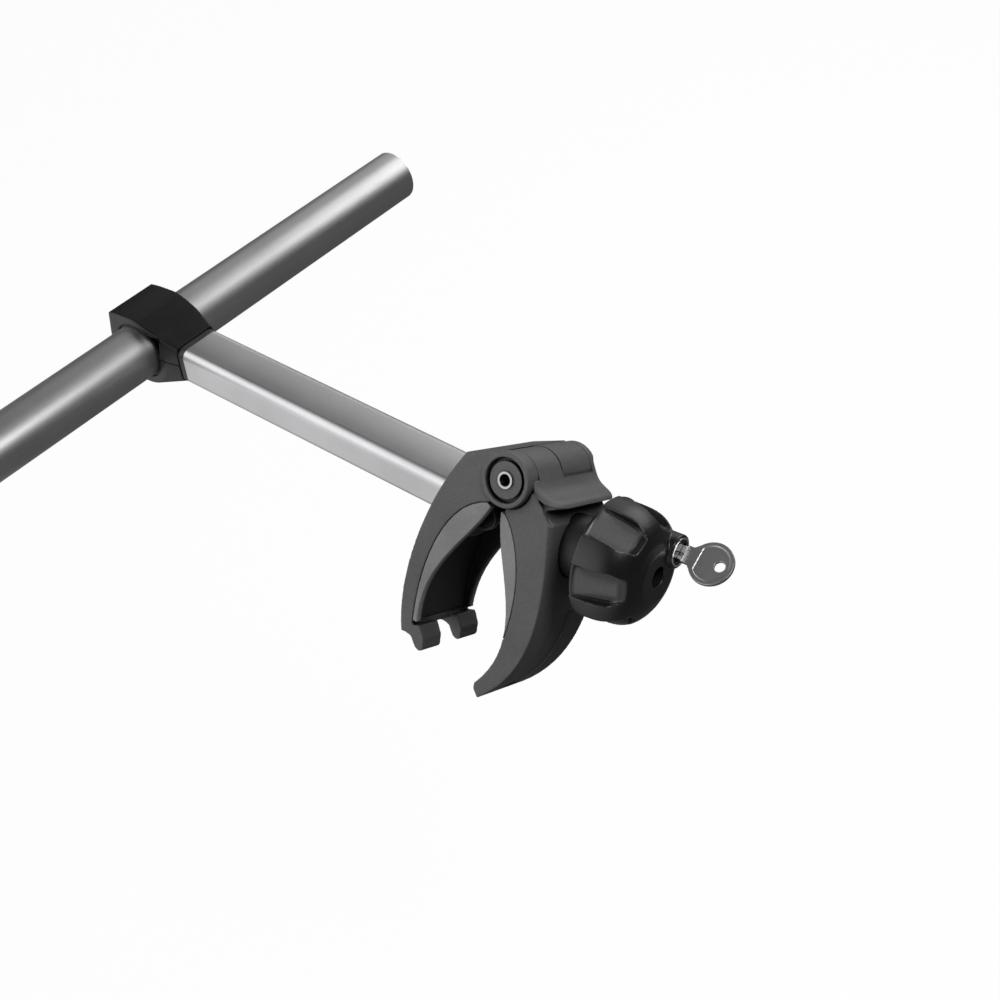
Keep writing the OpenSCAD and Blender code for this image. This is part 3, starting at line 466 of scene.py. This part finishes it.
def under_lip():
    """What fills the corner between the eave's lip and the jaw's body, near the front face."""
    upper = [eave_side(t, lip_depth(t) + 0.1) for t in [0.12 + 0.88 * i / 24 for i in range(25)]]
    body = [(32, -4.4), (30, -13.5), (27.4, -12.2), (20.5, -5.3), (14.5, -0.8), (9.4, 2.6), (7.6, 5.0)]
    behind, before = 24.2, 32
    return prism(upper + body, HEAD @ Matrix.Rotation(math.pi / 2, 4, "X"), behind, before)


def eave_margin(x, h):
    """How far a point lies within the eave's outline in plan."""
    past_x = max(0.0, x - (EAVE_REACH - EAVE_CORNER))
    past_h = max(0.0, h - (EAVE_BACK - EAVE_CORNER), (EAVE_FRONT + EAVE_CORNER) - h)
    if past_x and past_h:
        return EAVE_CORNER - math.hypot(past_x, past_h)
    return EAVE_CORNER - max(past_x, past_h)


def roll_lip(mesh):
    """Thins the eave's lip towards its edge, so that its upper face rolls down there."""
    # Width of the roll, share of the lip left at its edge, and where along the curve the lip starts
    roll, thinnest, first = 3.4, 0.3, 0.08
    back = HEAD.inverted()
    points = [(t, *eave_point(t), *eave_side(t, 1.0)) for t in [0.02 * i for i in range(51)]]
    for v in mesh.vertices:
        x, h, u = back @ v.co
        margin = eave_margin(x, h)
        if not 8 <= x <= 33 or not -6 <= u <= 12 or margin > roll:
            continue
        t, px, pu, qx, qu = min(points, key=lambda p: (p[1] - x) ** 2 + (p[2] - u) ** 2)
        nx, nu = qx - px, qu - pu
        depth = (x - px) * nx + (u - pu) * nu
        full = lip_depth(t)
        if t < first or not -0.8 <= depth < full:
            continue
        share = max(0.0, margin) / roll
        keep = max(thinnest, math.sqrt(1 - (1 - share) ** 2))
        shift = (full - depth) * (1 - keep) * min(1.0, (t - first) / 0.1)
        v.co = HEAD @ Vector((x + shift * nx, h, u + shift * nu))


def base_rim():
    """The rim at the knob's base, from which the grooves' floors run down."""
    outline = [(22.4, 0.3), (30.1, 0.3), (30.7, 0.9), (30.7, 1.9), (30.1, 2.6), (22.7, 23.5), (22.4, 23.5)]
    count = 96
    bm = bmesh.new()
    rings = []
    for i in range(count):
        a = 2 * math.pi * i / count
        rings.append([bm.verts.new(ROD @ Vector((r * math.cos(a), r * math.sin(a), z))) for r, z in outline])
    for i in range(count):
        one, two = rings[i], rings[(i + 1) % count]
        for j in range(len(outline)):
            k = (j + 1) % len(outline)
            bm.faces.new((one[j], one[k], two[k], two[j]))
    bmesh.ops.recalc_face_normals(bm, faces=bm.faces)
    return mesh_of(bm, "rim")


moulded("inner_jaw", 0.4, 6, 0.35)
moulded("outer_jaw", 0.4, 6, 0.35, cut=under_lip(), shape=roll_lip)
moulded("inner_pad", 0.35, 4, 0.4)
moulded("outer_pad", 0.35, 4, 0.4)
moulded("knob_shell", 0.35, 6, 0.4, extra=(base_rim(),))
moulded("collar_upper", 0.35, 4, 0.4)
moulded("collar_lower", 0.35, 4, 0.4)
moulded("thrust_cup", 0.28, 2, 0.4)
moulded("key", 0.17, 2, 0.4)


# Studio: a pale floor, a world that lights the object and shows white, and plain soft lamps
world = bpy.data.worlds.new("studio")
bpy.context.scene.world = world
world.use_nodes = True
wt = world.node_tree
wt.nodes.clear()
place = wt.nodes.new("ShaderNodeTexCoord")
around = wt.nodes.new("ShaderNodeBackground")


def lobe(direction, low, high, strength):
    """A soft patch of light in the world, round a direction."""
    toward = wt.nodes.new("ShaderNodeVectorMath")
    toward.operation = "DOT_PRODUCT"
    toward.inputs[1].default_value = Vector(direction).normalized()
    wt.links.new(place.outputs["Generated"], toward.inputs[0])
    ramp = wt.nodes.new("ShaderNodeMapRange")
    ramp.interpolation_type = "SMOOTHSTEP"
    for key, value in (("From Min", low), ("From Max", high), ("To Min", 0), ("To Max", strength)):
        ramp.inputs[key].default_value = value
    wt.links.new(toward.outputs["Value"], ramp.inputs["Value"])
    return ramp.outputs[0]


def total(values):
    """The sum of the world's patches of light."""
    value = values[0]
    for other in values[1:]:
        node = wt.nodes.new("ShaderNodeMath")
        for socket, source in zip(node.inputs, (value, other)):
            wt.links.new(source, socket)
        value = node.outputs[0]
    return value


front = lobe((-0.68, -0.73, 0.1), 0.42, 0.92, 2.2)
behind = lobe((-0.35, 0.85, 0.4), 0.72, 1.0, 0.9)
everywhere = lobe((0, 0, 1), -2, -1.5, 0.02)
wt.links.new(total([front, behind, everywhere]), around.inputs["Strength"])
white = wt.nodes.new("ShaderNodeBackground")
white.inputs["Color"].default_value = (1, 1, 1, 1)
choose = wt.nodes.new("ShaderNodeMixShader")
seen = wt.nodes.new("ShaderNodeLightPath").outputs
either = wt.nodes.new("ShaderNodeMath")
either.operation = "MAXIMUM"
wt.links.new(seen["Is Camera Ray"], either.inputs[0])
wt.links.new(seen["Is Transmission Ray"], either.inputs[1])
wt.links.new(either.outputs[0], choose.inputs[0])
wt.links.new(around.outputs[0], choose.inputs[1])
wt.links.new(white.outputs[0], choose.inputs[2])
wt.links.new(choose.outputs[0], wt.nodes.new("ShaderNodeOutputWorld").inputs[0])


def floor_material():
    """White paper to the camera, and darker to what the object reflects towards the back."""
    t = Tree("floor_paper")
    rays = t.add("LightPath").outputs
    t.put(t.shader.inputs["Base Color"], t.mix(rays["Is Camera Ray"], (0.12, 0.12, 0.12), (0.86, 0.86, 0.86)))
    t.shader.inputs["Roughness"].default_value = 0.9
    paper = t.add("Emission")
    paper.inputs["Strength"].default_value = 1.02
    first = t.add("MixShader")
    t.put(first.inputs[0], t.maths("MULTIPLY", rays["Is Camera Ray"], 0.93))
    t.links.new(t.shader.outputs[0], first.inputs[1])
    t.links.new(paper.outputs[0], first.inputs[2])
    along = t.vector("DOT_PRODUCT", t.place, (-0.3, -0.95, 0))
    far = t.add("Emission")
    t.put(far.inputs["Strength"], t.span(along, -0.05, 0.46, 0.12, 1.0))
    second = t.add("MixShader")
    t.put(second.inputs[0], t.maths("MAXIMUM", rays["Is Glossy Ray"], rays["Is Transmission Ray"]))
    t.links.new(first.outputs[0], second.inputs[1])
    t.links.new(far.outputs[0], second.inputs[2])
    t.links.new(second.outputs[0], t.out.inputs[0])
    return t.material


sheet = bpy.data.meshes.new("floor")
corners = [(x * FLOOR_HALF, y * FLOOR_HALF, 0) for x, y in ((-1, -1), (1, -1), (1, 1), (-1, 1))]
sheet.from_pydata(corners, [], [(0, 1, 2, 3)])
sheet.materials.append(floor_material())
floor = placed("floor", sheet)
floor.location = (0, 0, FLOOR_Z)


def softbox(name, target, direction, distance, size, power):
    """A lamp of this size that shines on a target from a direction."""
    lamp = bpy.data.lights.new(name, "AREA")
    lamp.shape = "RECTANGLE"
    lamp.size, lamp.size_y = size
    lamp.energy = power
    ob = placed(name, lamp)
    toward = Vector(direction).normalized()
    ob.location = Vector(target) + toward * distance
    ob.rotation_euler = toward.to_track_quat("Z", "Y").to_euler()


softbox("key", (0.18, 0, 0), (0.13, 0.80, 0.58), 1.5, (1.3, 0.9), 9.5)
softbox("top", (0.34, 0, 0.03), (0.47, -0.03, 0.86), 0.6, (0.22, 0.22), 2.1)
